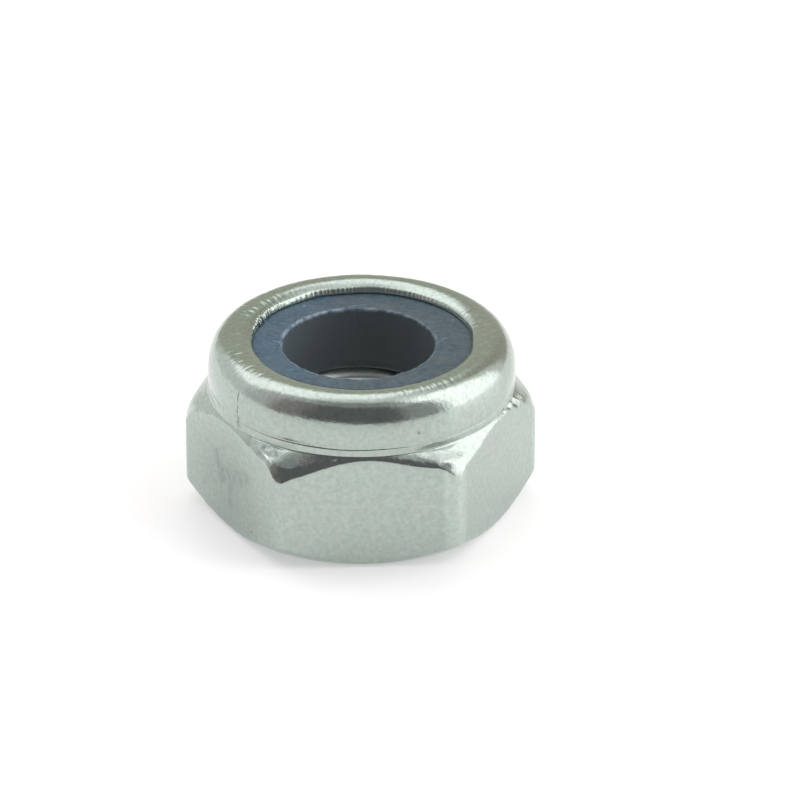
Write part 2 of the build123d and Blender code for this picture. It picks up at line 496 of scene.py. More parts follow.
def grid_normals(points):
    """Unit normals of a grid that closes round the axis: the cross product of the steps round it and along
    it."""
    around = np.roll(points, -1, axis=1) - np.roll(points, 1, axis=1)
    along = np.gradient(points, axis=0)
    normals = np.cross(around, along)
    return normals / np.linalg.norm(normals, axis=-1, keepdims=True)


def crimp_marks(angle, inset):
    """Depth of the short radial grooves that the crimping tool pressed into the lip. Each is a bell across
    its own angle times a bell along the section, where inset is the way inwards from the ridge."""
    draw = np.random.default_rng(CRIMP_SEED)
    total = np.zeros(inset.shape)
    for zone, spread, count in CRIMP_ZONES:
        middles = np.radians(zone + spread * draw.normal(size=count))
        half_widths = draw.uniform(*CRIMP_HALF_WIDTHS, count)
        insets = draw.uniform(*CRIMP_INSETS, count)
        lengths = draw.uniform(*CRIMP_LENGTHS, count)
        depths = draw.uniform(*CRIMP_DEPTHS, count) * draw.choice(CRIMP_WAYS, count)
        for middle, half_width, inward, length, depth in zip(middles, half_widths, insets, lengths, depths):
            total += depth * bump_round(angle, middle, half_width) * bump_at(inset, inward, length)
    return total


def dent_depths(points):
    """Depth of the hollows and burrs: a round bell about each one's own point."""
    total = np.zeros(points.shape[:-1])
    for degrees, *lengths in DENTS:
        radius, height, half_width, depth = np.array(lengths) * MM
        distance = np.linalg.norm(points - polar(degrees, radius, height), axis=-1)
        total += depth * bump_at(distance, 0, half_width)
    return total


def seam_depth(angle, height):
    """Depth of the seam up the collar: a bell about a wavy line, which runs out at both ends."""
    path = turn_from(angle, np.radians(SEAM_DEGREES)) + SEAM_WAVE * np.sin(height / SEAM_WAVE_LENGTH)
    along = np.clip(SEAM_END - np.abs(height - SEAM_MIDDLE_HEIGHT) / SEAM_HALF_HEIGHT, 0, 1)
    return SEAM_DEPTH * bump_at(path, 0, SEAM_HALF_WIDTH) * np.sqrt(along)


def worn_skin(section, angle, ends):
    """The skin's points pushed along their normals by the marks, from the lower bevel up to the lip's edge.
    The bearing face and the pocket stay as they are, so that the nut sits flat and the insert clears it."""
    points = to_space(section, angle)
    rows = np.arange(len(points))[:, None]
    from_rim = np.clip((rows - ends[RIM_STRETCH] + 1) / 2, 0, 1)
    to_edge = np.clip((ends[EDGE_STRETCH] - rows) / 2, 0, 1)
    radius, height = section[..., 0], section[..., 1]
    inset = np.where(height > roll_start, ridge_radius - radius, -2 * ROLL_WIDTH)
    depth = crimp_marks(angle, inset) + dent_depths(points) + seam_depth(angle, height)
    depth += grain(points, *ZINC_FINE_GRAIN)
    depth += grain(points, *ZINC_COARSE_GRAIN)
    return points - grid_normals(points) * (depth * from_rim * to_edge)[..., None]


# ------------------------ threaded bore


def bore_section(angle):
    """The bore from the seat down to the bearing face, as radius and height. A V groove with flat root and
    crest runs along a right-hand helix: its phase is height over pitch minus the share of a turn, and its
    radius falls from the root along its flanks. The two countersinks are 45 degree cones, and the widest of
    the three shows."""
    height = np.linspace(seat_height, 0, BORE_ROWS)[:, None] + np.zeros_like(angle)
    phase = (height / THREAD_PITCH - angle / TAU + THREAD_START) % 1
    from_root = np.abs(phase - 0.5) * THREAD_PITCH
    root_radius = thread_radius + THREAD_DEPTH
    flank = root_radius - (from_root - THREAD_ROOT_WIDTH / 2) / np.tan(THREAD_FLANK_ANGLE)
    thread = np.clip(flank, thread_radius, root_radius)
    entry = thread_radius + ENTRY_COUNTERSINK_WIDTH - height
    seat = thread_radius + SEAT_COUNTERSINK_WIDTH - (seat_height - height)
    return pairs(np.maximum(thread, np.maximum(entry, seat)), height)


def stitch(bore_start, skin_start, upwards):
    """The triangles of a flat ring between a circle of the bore and a circle of the skin, three times as
    fine."""
    column = np.arange(BORE_COLUMNS)
    here = bore_start + column
    after = bore_start + (column + 1) % BORE_COLUMNS
    fine = [skin_start + (3 * column + step) % SKIN_COLUMNS for step in range(4)]
    triangles = [
        (here, fine[0], fine[1]),
        (here, fine[1], fine[2]),
        (here, fine[2], after),
        (after, fine[2], fine[3]),
    ]
    faces = np.concatenate([np.stack(triangle, axis=-1) for triangle in triangles])
    return faces if upwards else faces[:, ::-1]


def add_mesh(name, points, faces):
    """A mesh object at the origin, unturned and unscaled."""
    mesh = bpy.data.meshes.new(name)
    mesh.from_pydata(points, [], faces)
    made = bpy.data.objects.new(name, mesh)
    bpy.context.scene.collection.objects.link(made)
    return made


def add_piece(name, points, faces, node):
    """A smooth mesh that rides on the part and stands for its CAD node."""
    piece = add_mesh(name, points, faces)
    piece.data.shade_smooth()
    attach(piece, "root")
    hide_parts(node)
    return piece


def add_plated_nut():
    """The skin and the bore, sewn into one closed surface on the seat and on the bearing face."""
    skin_angle = np.arange(SKIN_COLUMNS) / SKIN_COLUMNS * TAU
    bore_angle = np.arange(BORE_COLUMNS) / BORE_COLUMNS * TAU
    section, ends = skin_section(skin_angle)
    skin = worn_skin(section, skin_angle, ends)
    bore = to_space(bore_section(bore_angle), bore_angle)
    points = np.concatenate([skin.reshape(-1, 3), bore.reshape(-1, 3)])
    bore_start = len(skin) * SKIN_COLUMNS
    last_skin_row = (len(skin) - 1) * SKIN_COLUMNS
    last_bore_row = bore_start + (BORE_ROWS - 1) * BORE_COLUMNS
    faces = closed_grid(len(skin), SKIN_COLUMNS).tolist()
    faces += closed_grid(BORE_ROWS, BORE_COLUMNS, first=bore_start).tolist()
    faces += stitch(bore_start, last_skin_row, upwards=True).tolist()
    faces += stitch(last_bore_row, 0, upwards=False).tolist()
    return add_piece("plated_nut", points, faces, "nut_body")


# ------------------------ nylon insert

# hair-like burrs and scratches on the insert's face: degrees and millimetres from the axis at the start and
# at the end, half width and height in millimetres
INSERT_HAIRS = [
    (178, 2.50, 175, 2.80, 0.022, 0.020),
    (-3, 2.50, 4, 2.74, 0.014, 0.020),
    (4, 2.74, 1, 2.84, 0.014, 0.016),
    (-90, 2.53, -81, 2.60, 0.020, 0.012),
    (96, 2.62, 84, 2.72, 0.016, 0.012),
]


def hair_heights(points):
    """Height of the hairs over the insert: a bell about the nearest point of each one's straight line."""
    total = np.zeros(points.shape[:-1])
    for turn_a, radius_a, turn_b, radius_b, half_width, height in INSERT_HAIRS:
        start = np.array(polar(turn_a, radius_a * MM))[:2]
        step = np.array(polar(turn_b, radius_b * MM))[:2] - start
        share = np.clip((points[..., :2] - start) @ step / (step @ step), 0, 1)
        distance = np.linalg.norm(points[..., :2] - start - share[..., None] * step, axis=-1)
        total += height * MM * bump_at(distance, 0, half_width * MM)
    return total


def insert_section(angle):
    """The ring's whole section as a loop: up the bore, round its ragged rim, out over the face, round the
    outer corner that the rolled lip holds, down the wall and back along the seat and the foot."""
    torn = bump_round(angle, *BORE_TORN)
    bore_radius = insert_bore_radius + wobble(angle, *BORE_SLOW_WOBBLE) + wobble(angle, *BORE_FINE_WOBBLE)
    bore_radius = bore_radius + torn * wobble(angle, *BORE_TORN_WOBBLE)
    rim = INSERT_RIM_ROUNDING * (1 + wobble(angle, *RIM_WOBBLE))

    foot = place(insert_bore_radius - INSERT_FOOT_INSET, seat_height - INSERT_SAG, angle)
    under_ledge = place(insert_bore_radius - INSERT_LEDGE_WIDTH, seat_height - INSERT_LEDGE_FOOT, angle)
    ledge = place(insert_bore_radius, seat_height - INSERT_LEDGE_HEAD, angle)
    steady = place(insert_bore_radius, insert_top - 2 * INSERT_RIM_ROUNDING, angle)
    bore_top = place(bore_radius, insert_top - rim, angle)
    rim_corner = place(bore_radius, insert_top, angle)
    face_start = place(bore_radius + rim, insert_top, angle)

    roll_center = place(insert_radius - INSERT_ROLL_WIDTH, insert_top - INSERT_ROLL_RISE, angle)
    outer = quarter(roll_center, INSERT_ROLL_WIDTH, INSERT_ROLL_RISE, 6)[::-1]
    wall_foot = place(insert_radius, seat_height, angle)
    cone_top = thread_radius + SEAT_COUNTERSINK_WIDTH
    seat_rim = place(thread_radius + INSERT_FOOT_SHARE * SEAT_COUNTERSINK_WIDTH, seat_height, angle)
    on_cone = place(cone_top - INSERT_SAG, seat_height - INSERT_FOOT_SHARE * INSERT_SAG, angle)
    return np.concatenate([
        straight(foot, under_ledge, [0, 1]),
        straight(ledge, steady, [0, 0.1, 0.5, 1]),
        straight(steady, bore_top, [0.3, 0.6, 0.9]),
        bend(bore_top, rim_corner, face_start, 9),
        straight(face_start, outer[0], np.linspace(0.06, 0.9, 15)),
        outer,
        straight(outer[-1], wall_foot, [0.5, 0.98]),
        straight(wall_foot, seat_rim, [0.03, 1]),
        straight(on_cone, foot, [0, 0.8]),
    ])


def add_nylon_ring():
    """The insert as a closed loop of rows. The bore leans off centre by a shift that fades out at the wall,
    and the bore, rim and face are uneven; the parts that touch the nut are true."""
    angle = np.arange(INSERT_COLUMNS) / INSERT_COLUMNS * TAU
    section = insert_section(angle)
    radius, height = section[..., 0], section[..., 1]
    points = to_space(section, angle)
    inner = np.clip((lip_radius - radius) / (lip_radius - insert_bore_radius), 0, 1)
    points[..., 0] += INSERT_BORE_SHIFT * inner
    worn = np.clip((height - insert_top) / INSERT_WEAR_DEPTH + 1, 0, 1) * inner
    uneven = grain(points, *NYLON_FINE_GRAIN) + grain(points, *NYLON_COARSE_GRAIN)
    points += grid_normals(points) * (uneven * worn)[..., None]
    on_face = bump_at(height, insert_top, INSERT_FACE_BAND) * inner
    points[..., 2] += hair_heights(points) * np.clip(on_face * 4, 0, 1)

    last = (len(section) - 1) * INSERT_COLUMNS
    column = np.arange(INSERT_COLUMNS)
    after = (column + 1) % INSERT_COLUMNS
    closing = np.stack([last + column, last + after, after, column], axis=-1)
    faces = np.concatenate([closed_grid(len(section), INSERT_COLUMNS), closing])[:, ::-1]
    return add_piece("nylon_ring", points.reshape(-1, 3), faces.tolist(), "nylon_insert")


# ------------------------ camera

AIM_HEIGHT = 3.0 * MM
AIM_RIGHT = 1.06 * MM
AIM_UP = 0.51 * MM
CAMERA_ELEVATION = np.radians(27.87)
CAMERA_TURN = np.radians(-2.97)
CAMERA_DISTANCE = 121.6 * MM
CAMERA_NEAR_CLIP = 10 * MM
CAMERA_LENS = 171.6
SENSOR_WIDTH = 36.0


def add_camera():
    """A long lens at the viewing angle, aimed a little right of and above the nut's middle."""
    out = np.cos(CAMERA_ELEVATION)
    back = Vector((np.sin(CAMERA_TURN) * out, -np.cos(CAMERA_TURN) * out, np.sin(CAMERA_ELEVATION)))
    right = Vector((0, 0, 1)).cross(back).normalized()
    up = back.cross(right)
    data = bpy.data.cameras.new("studio_camera")
    data.lens = CAMERA_LENS
    data.sensor_width = SENSOR_WIDTH
    data.clip_start = CAMERA_NEAR_CLIP
    camera = bpy.data.objects.new("studio_camera", data)
    turn = Matrix((right, up, back)).transposed().to_4x4()
    spot = Vector((0, 0, AIM_HEIGHT)) + back * CAMERA_DISTANCE + right * AIM_RIGHT + up * AIM_UP
    camera.matrix_world = Matrix.Translation(spot) @ turn
    bpy.context.scene.collection.objects.link(camera)
    bpy.context.scene.camera = camera


# ------------------------ shader building blocks


def fill_sockets(tree, made, values):
    """Give each named or numbered input of a node its value, or link it where the value is a socket."""
    for name, value in values.items():
        if isinstance(value, bpy.types.NodeSocket):
            tree.links.new(value, made.inputs[name])
        else:
            made.inputs[name].default_value = value


def add_node(tree, kind, inputs=None, **settings):
    """A new shader node. Settings are its own properties, and inputs its values or links by socket."""
    made = tree.nodes.new("ShaderNode" + kind)
    for name, value in settings.items():
        setattr(made, name, value)
    fill_sockets(tree, made, inputs or {})
    return made


def maths(tree, operation, *values):
    """The result of one Math node."""
    return add_node(tree, "Math", dict(enumerate(values)), operation=operation).outputs[0]


def times(tree, first, *others):
    """The product of two or more values."""
    for other in others:
        first = maths(tree, "MULTIPLY", first, other)
    return first


def vector_maths(tree, operation, *values):
    """The result of one Vector Math node: a value where it measures, or else a vector."""
    made = add_node(tree, "VectorMath", dict(enumerate(values)), operation=operation)
    measures = operation in ("LENGTH", "DISTANCE", "DOT_PRODUCT")
    return made.outputs["Value" if measures else "Vector"]


def scaled(tree, vector, factor):
    """A vector or colour times a value."""
    return add_node(tree, "VectorMath", {0: vector, "Scale": factor}, operation="SCALE").outputs["Vector"]


def level(tree, vector):
    """A vector with its height left out."""
    return vector_maths(tree, "MULTIPLY", vector, (1, 1, 0))


def ramp(tree, value, low, high, to_low=0.0, to_high=1.0):
    """Value carried smoothly from low..high to to_low..to_high."""
    inputs = {"Value": value, "From Min": low, "From Max": high, "To Min": to_low, "To Max": to_high}
    return add_node(tree, "MapRange", inputs, interpolation_type="SMOOTHSTEP").outputs["Result"]


def blend(tree, factor, first, second):
    """First colour turning into the second as the factor goes from 0 to 1."""
    return add_node(tree, "Mix", {0: factor, 6: first, 7: second}, data_type="RGBA").outputs[2]


def noise(tree, vector, scale, detail=2.0, roughness=0.5):
    """Noise of about 0 to 1 at scale features a metre."""
    inputs = {"Vector": vector, "Scale": scale, "Detail": detail, "Roughness": roughness}
    return add_node(tree, "TexNoise", inputs).outputs["Fac"]


def centred_noise(tree, vector, size, scale, detail=2.0):
    """Noise about zero, as much as half of size to each side."""
    return times(tree, maths(tree, "SUBTRACT", noise(tree, vector, scale, detail), 0.5), size)


def bumped(tree, height, depth):
    """The normal of a surface with fine relief: height is a share of depth."""
    return add_node(tree, "Bump", {"Height": height, "Distance": depth, "Strength": 1.0}).outputs[0]


def empty_group(name, inputs):
    """A shader node group with a vector input, the named number inputs and a Mask output. Gives the group,
    its inputs and the socket for the mask."""
    tree = bpy.data.node_groups.new(name, "ShaderNodeTree")
    tree.interface.new_socket(name="Vector", in_out="INPUT", socket_type="NodeSocketVector")
    for label, kind in inputs.items():
        tree.interface.new_socket(name=label, in_out="INPUT", socket_type="NodeSocket" + kind)
    tree.interface.new_socket(name="Mask", in_out="OUTPUT", socket_type="NodeSocketFloat")
    entry = tree.nodes.new("NodeGroupInput")
    return tree, entry.outputs, tree.nodes.new("NodeGroupOutput").inputs["Mask"]


def scratches_group():
    """Fine lines: where a noise stretched along one way crosses its middle value. Patches says how much of
    the surface has them."""
    inputs = {"Scale": "Float", "Turn": "Float", "Fineness": "Float", "Patches": "Float"}
    tree, given, result = empty_group("fine_scratches", inputs)
    axis = (0.36, 0.48, 0.8)
    turned = add_node(tree, "VectorRotate", {"Vector": given["Vector"], "Axis": axis, "Angle": given["Turn"]})
    stretched = vector_maths(tree, "MULTIPLY", turned.outputs[0], (1.0, 0.07, 0.11))
    field = noise(tree, stretched, given["Scale"], 1.0)
    away = maths(tree, "ABSOLUTE", maths(tree, "SUBTRACT", field, 0.5))
    line = ramp(tree, away, given["Fineness"], 0.0)
    patch = noise(tree, given["Vector"], times(tree, given["Scale"], 0.6))
    kept = ramp(tree, maths(tree, "ADD", patch, given["Patches"]), 0.95, 1.15)
    tree.links.new(times(tree, line, kept), result)
    return tree


def specks_group():
    """Small round specks: near the middle of some cells of a cell pattern. Share says how many cells have
    one."""
    tree, given, result = empty_group("small_specks", {"Scale": "Float", "Share": "Float", "Size": "Float"})
    where = given["Vector"]
    cells = add_node(tree, "TexVoronoi", {"Vector": where, "Scale": given["Scale"], "Randomness": 1.0})
    drawn = add_node(tree, "SeparateColor", {0: cells.outputs["Color"]}).outputs[0]
    chosen = maths(tree, "LESS_THAN", drawn, given["Share"])
    distance = maths(tree, "ADD", cells.outputs["Distance"], centred_noise(tree, where, 0.3, 14000.0))
    spot = ramp(tree, distance, given["Size"], times(tree, given["Size"], 0.5))
    tree.links.new(times(tree, spot, chosen), result)
    return tree


def streak_group():
    """A soft line from Start along Step: the distance to the nearest point of it, carried to 1 at the
    middle and 0 at Width."""
    tree, given, result = empty_group("streak", {"Start": "Vector", "Step": "Vector", "Width": "Float"})
    gone = vector_maths(tree, "SUBTRACT", given["Vector"], given["Start"])
    along = vector_maths(tree, "DOT_PRODUCT", gone, given["Step"])
    square = vector_maths(tree, "DOT_PRODUCT", given["Step"], given["Step"])
    share = add_node(tree, "Clamp", {0: maths(tree, "DIVIDE", along, square)}).outputs[0]
    distance = vector_maths(tree, "DISTANCE", gone, scaled(tree, given["Step"], share))
    tree.links.new(ramp(tree, distance, given["Width"], 0.0), result)
    return tree


def mottle_group():
    """Slow cloudy change between a low and a high value."""
    tree, given, result = empty_group("mottle", {"Scale": "Float", "Low": "Float", "High": "Float"})
    cloud = noise(tree, given["Vector"], given["Scale"], 3.0, 0.55)
    ends = {"From Min": 0.3, "From Max": 0.7, "To Min": given["Low"], "To Max": given["High"]}
    value = add_node(tree, "MapRange", {"Value": cloud, **ends}).outputs["Result"]
    tree.links.new(value, result)
    return tree


SCRATCHES = scratches_group()
SPECKS = specks_group()
STREAK = streak_group()
MOTTLE = mottle_group()


def place_group(tree, group, **inputs):
    """One use of a node group, with its own values: the output socket."""
    used = add_node(tree, "Group", node_tree=group)
    fill_sockets(tree, used, inputs)
    return used.outputs[0]


def mottle(tree, where, scale, low, high):
    """Clouds between a low and a high value."""
    return place_group(tree, MOTTLE, Vector=where, Scale=scale, Low=low, High=high)


def streak(tree, where, start, end, width):
    """A soft line between two points."""
    start, end = Vector(start), Vector(end)
    return place_group(tree, STREAK, Vector=where, Start=start, Step=end - start, Width=width)


def new_material(name):
    """A material, its tree, its Principled shader and the Object coordinates."""
    material = bpy.data.materials.new(name)
    material.use_nodes = True
    tree = material.node_tree
    shader = tree.nodes["Principled BSDF"]
    where = tree.nodes.new("ShaderNodeTexCoord").outputs["Object"]
    return material, tree, shader, where


# ------------------------ zinc plating

ZINC = (0.405, 0.476, 0.424, 1)
ZINC_PINK = (0.445, 0.450, 0.428, 1)
ZINC_GREEN = (0.362, 0.470, 0.410, 1)
ZINC_SMUDGE_AND_SHADE = (0.15, 0.172, 0.158, 1)
# a pale colour for painted light: the highlight on the chamfer's arc and the lift in the bore
ZINC_PAINTED_LIGHT = (0.86, 0.92, 0.88, 1)
ZINC_PIT = (0.10, 0.11, 0.10, 1)
ZINC_CRACK_SHADE = (0.02, 0.02, 0.02, 1)

# handling smears on the left flat, darker marks round the nick at the right shoulder and by the collar's
# seam, and painted shade on the near left chamfer: from and to in millimetres, half width in millimetres, and
# strength
SMEARS_AND_PAINTED_SHADE = [
    ((-4.70, -1.86, 2.60), (-4.59, -2.04, 1.73), 0.30, 0.28),
    ((-4.52, -2.16, 2.10), (-4.50, -2.20, 1.75), 0.34, 0.36),
    ((-4.37, -2.43, 2.09), (-3.80, -3.40, 2.40), 0.48, 0.30),
    ((-4.28, -2.58, 1.88), (-4.29, -2.56, 1.05), 0.28, 0.28),
    # painted shade that darkens the near left chamfer's bright reflection
    ((-3.26, -3.96, 3.83), (-2.90, -4.28, 3.80), 0.38, 0.95),
    ((4.85, -1.45, 3.90), (4.95, -1.25, 3.75), 0.25, 0.75),
    ((-3.96, -2.88, 4.30), (-3.96, -2.88, 4.10), 0.20, 0.45),
]

# painted shade on the left flat, and a painted highlight on the right corner: from the first radius and the
# first X to the second it sets in
LEFT_SHADE_SPOT = polar(208.0, 4.9 * MM, 1.6 * MM)
LEFT_SHADE_REACH = 3.6 * MM
LEFT_SHADE_TONE = 0.80
CORNER_HIGHLIGHT_RADII = (5.50 * MM, 5.62 * MM)
CORNER_HIGHLIGHT_SIDE = (0, 2 * MM)  # on X
CORNER_HIGHLIGHT_TONE = 1.13

# painted highlight along the near left arc of the chamfer
HIGHLIGHT_STREAK_START = (-3.44 * MM, -3.78 * MM, 3.82 * MM)
HIGHLIGHT_STREAK_END = (-2.99 * MM, -4.54 * MM, 3.62 * MM)
HIGHLIGHT_STREAK_HALF_WIDTH = 0.055 * MM

# the bore, painted lighter and made rougher: from the first value to the second it sets in
BORE_ZONE_RADII = (3.55 * MM, 3.35 * MM)
BORE_ZONE_HEIGHTS = (seat_height + 0.2 * MM, seat_height + 0.1 * MM)

# painted shade in the crack in the seam: from the first value to the second it sets in
CRACK_WIDTHS = (0.032 * MM, 0.008 * MM)
CRACK_FOOT = (4.05 * MM, 4.25 * MM)
CRACK_HEAD = (5.38 * MM, 5.15 * MM)
CRACK_WAVE = 0.20 * MM

# fine relief, whose parts are shares of one depth, with rubs on the roll that set in between two heights
ZINC_RELIEF = 0.0022 * MM
RUB_DEPTH = 1.3
RUBS_ROUND = 46.0  # how fast they change round the axis
RUBS_ALONG = 900.0  # and along the section, a metre
RUBBED_HEIGHTS = (roll_start + 0.35 * MM, ridge_height - 0.1 * MM)
GRIT_DEPTH = 2.0
PEEL_DEPTH = 1.2
SCRATCH_DEPTH = 0.7
PIT_DEPTH = 1.2


def smear_and_shade_mask(tree, where):
    """Where handling left smears and where shade is painted on the near left chamfer: soft lines, broken up
    by clouds.
    """
    mask = 0.0
    for start, end, half_width, strength in SMEARS_AND_PAINTED_SHADE:
        mark = streak(tree, where, Vector(start) * MM, Vector(end) * MM, half_width * MM)
        mask = maths(tree, "MAXIMUM", mask, times(tree, mark, strength))
    cloud = mottle(tree, where, 3400.0, 0.1, 1.1)
    return times(tree, mask, ramp(tree, cloud, 0.0, 0.9))


def crack_mask(tree, where, height):
    """The crack in the seam of the collar, where shade is painted: near the plane through the axis, on the
    seam's side, within its heights, with a wavy and broken line."""
    away = vector_maths(tree, "DOT_PRODUCT", where, polar(SEAM_DEGREES + 90, 1.0))
    away = maths(tree, "ADD", away, centred_noise(tree, where, CRACK_WAVE, 3200.0, 3.0))
    line = ramp(tree, maths(tree, "ABSOLUTE", away), *CRACK_WIDTHS)
    broken = ramp(tree, noise(tree, where, 4200.0), 0.3, 0.6, 0.15, 0.8)
    heading = vector_maths(tree, "NORMALIZE", level(tree, where))
    facing = vector_maths(tree, "DOT_PRODUCT", heading, polar(SEAM_DEGREES, 1.0))
    this_side = maths(tree, "GREATER_THAN", facing, 0.5)
    foot = ramp(tree, height, *CRACK_FOOT)
    head = ramp(tree, height, *CRACK_HEAD)
    return times(tree, line, broken, this_side, foot, head)


def highlight_streak_mask(tree, where):
    """A painted highlight along the chamfer's near left arc, broken into grains."""
    line = streak(tree, where, HIGHLIGHT_STREAK_START, HIGHLIGHT_STREAK_END, HIGHLIGHT_STREAK_HALF_WIDTH)
    return times(tree, line, ramp(tree, noise(tree, where, 9000.0), 0.35, 0.6, 0.2, 1.0))


def zinc_tone(tree, where, axis_distance, side):
    """How bright the plating is: a fine speckle, painted shade on the left flat and a painted highlight on
    the right corner."""
    speckle = maths(tree, "MULTIPLY_ADD", noise(tree, where, 7500.0, 3.0, 0.6), 0.5, 0.75)
    # painted shade on the left flat
    left_shade = ramp(tree, vector_maths(tree, "DISTANCE", where, LEFT_SHADE_SPOT), LEFT_SHADE_REACH, 0.0)
    # painted highlight on the right corner
    corner = times(tree, ramp(tree, axis_distance, *CORNER_HIGHLIGHT_RADII), ramp(tree, side, *CORNER_HIGHLIGHT_SIDE))
    shaded = ramp(tree, left_shade, 0.0, 1.0, 1.0, LEFT_SHADE_TONE)
    highlighted = ramp(tree, corner, 0.0, 1.0, 1.0, CORNER_HIGHLIGHT_TONE)
    return times(tree, speckle, shaded, highlighted)


def zinc_relief(tree, where, axis_distance, height, pits):
    """Fine relief of the plating: radial rubs on the rolled lip, grit, a soft peel, scratches and pits. The
    rubs are a noise that changes fast round the axis and slowly along the section."""
    heading = vector_maths(tree, "NORMALIZE", level(tree, where))
    along = add_node(tree, "CombineXYZ", {0: axis_distance, 1: height}).outputs[0]
    lane = vector_maths(tree, "ADD", scaled(tree, heading, RUBS_ROUND), scaled(tree, along, RUBS_ALONG))
    rubs = times(tree, noise(tree, lane, 1.0, 3.0, 0.6), ramp(tree, height, *RUBBED_HEIGHTS), RUB_DEPTH)
    grit = times(tree, noise(tree, where, 9500.0, 3.0, 0.6), GRIT_DEPTH)
    peel = times(tree, noise(tree, where, 3300.0), PEEL_DEPTH)
    lines = place_group(tree, SCRATCHES, Vector=where, Scale=2100.0, Turn=0.7, Fineness=0.012, Patches=0.42)
    more = place_group(tree, SCRATCHES, Vector=where, Scale=3100.0, Turn=2.3, Fineness=0.010, Patches=0.40)
    cuts = times(tree, maths(tree, "ADD", lines, more), -SCRATCH_DEPTH)
    relief = maths(tree, "ADD", maths(tree, "ADD", rubs, grit), maths(tree, "ADD", peel, cuts))
    relief = maths(tree, "SUBTRACT", relief, times(tree, pits, PIT_DEPTH))
    return bumped(tree, relief, ZINC_RELIEF)


def zinc_material():
    """Bright zinc over drawn and pressed steel: a grainy gloss with a cast between green and pink, smears,
    pin pits, painted shade in the crack and on the left, and painted light on the chamfer's arc, right corner
    and bore."""
    material, tree, shader, where = new_material("bright_zinc")
    side, _, height = add_node(tree, "SeparateXYZ", {0: where}).outputs
    axis_distance = vector_maths(tree, "LENGTH", level(tree, where))
    smeared_and_shaded = smear_and_shade_mask(tree, where)
    pits = place_group(tree, SPECKS, Vector=where, Scale=1900.0, Share=0.07, Size=0.09)
    below_seat = ramp(tree, height, *BORE_ZONE_HEIGHTS)
    in_bore = times(tree, ramp(tree, axis_distance, *BORE_ZONE_RADII), below_seat)

    pink = times(tree, mottle(tree, where, 900.0, 0.0, 1.0), 0.5)
    green = times(tree, mottle(tree, where, 5200.0, 0.0, 1.0), 0.4)
    colour = blend(tree, pink, ZINC, ZINC_PINK)
    colour = blend(tree, green, colour, ZINC_GREEN)
    # handling smears, and painted shade on the near left chamfer
    colour = blend(tree, smeared_and_shaded, colour, ZINC_SMUDGE_AND_SHADE)
    colour = blend(tree, times(tree, pits, 0.7), colour, ZINC_PIT)
    colour = scaled(tree, colour, zinc_tone(tree, where, axis_distance, side))
    # painted shade in the crack
    colour = blend(tree, crack_mask(tree, where, height), colour, ZINC_CRACK_SHADE)
    # painted highlight along the chamfer's near left arc
    colour = blend(tree, highlight_streak_mask(tree, where), colour, ZINC_PAINTED_LIGHT)
    # painted light that brightens the metal in the bore
    colour = blend(tree, times(tree, in_bore, 0.6), colour, ZINC_PAINTED_LIGHT)

    gloss = mottle(tree, where, 1500.0, 0.11, 0.19)
    rough = maths(tree, "ADD", gloss, mottle(tree, where, 9000.0, -0.03, 0.05))
    rough = maths(tree, "ADD", rough, times(tree, smeared_and_shaded, 0.2))
    rough = maths(tree, "ADD", rough, times(tree, in_bore, 0.22))
    relief = zinc_relief(tree, where, axis_distance, height, pits)
    fill_sockets(tree, shader, {"Base Color": colour, "Metallic": 1.0, "Roughness": rough, "Normal": relief})
    return material


# ------------------------ nylon

NYLON = (0.041, 0.086, 0.119, 1)
NYLON_BLUE = (0.037, 0.108, 0.174, 1)
# a grey that scuffs the face and, down the bore, paints light into its shade
NYLON_SCUFF_AND_BORE_LIGHT = (0.122, 0.150, 0.163, 1)
NYLON_PALE = (0.44, 0.58, 0.66, 1)
NYLON_SPECK = (0.50, 0.55, 0.58, 1)

# from the first value to the second each of these sets in
FACE_HEIGHTS = (insert_top - 0.16 * MM, insert_top - 0.02 * MM)
BLUER_SIDE = (0.5 * MM, -3.0 * MM)  # on X
PALE_RIM_WIDTHS = (0.14 * MM, 0.03 * MM)  # from the bore out
PALE_RIM_SIDE = (3.5 * MM, -1.5 * MM)  # on X
RIM_STRAY = 0.12 * MM
HAIR_SPREAD = 1.8  # how much wider the pale mark of a hair is than the hair
NYLON_RELIEF = 0.006 * MM
NYLON_SCATTER = 0.25 * MM  # how far light goes in


def pale_rim_mask(tree, where, centred, on_face):
    """The rim of the bore, pale: a ragged and broken band that is fainter on +X."""
    axis_distance = vector_maths(tree, "LENGTH", level(tree, centred))
    from_rim = maths(tree, "SUBTRACT", axis_distance, insert_bore_radius)
    from_rim = maths(tree, "ADD", from_rim, centred_noise(tree, where, RIM_STRAY, 3800.0, 3.0))
    side = add_node(tree, "SeparateXYZ", {0: centred}).outputs[0]
    broken = ramp(tree, noise(tree, where, 3600.0, 3.0, 0.65), 0.40, 0.66, 0.12, 1.0)
    fainter = ramp(tree, side, *PALE_RIM_SIDE, 0.35, 1.0)
    return times(tree, ramp(tree, from_rim, *PALE_RIM_WIDTHS), on_face, broken, fainter)


def nylon_marks(tree, where, on_face, lines):
    """Pale scratches, specks and hairs on the face."""
    specks = place_group(tree, SPECKS, Vector=where, Scale=2300.0, Share=0.12, Size=0.13)
    marks = times(tree, maths(tree, "ADD", lines, specks), on_face, 0.5)
    flat_where = level(tree, where)
    for turn_a, radius_a, turn_b, radius_b, half_width, _ in INSERT_HAIRS:
        start = polar(turn_a, radius_a * MM)
        end = polar(turn_b, radius_b * MM)
        hair = streak(tree, flat_where, start, end, HAIR_SPREAD * half_width * MM)
        marks = maths(tree, "MAXIMUM", marks, times(tree, hair, on_face, 0.35))
    return marks


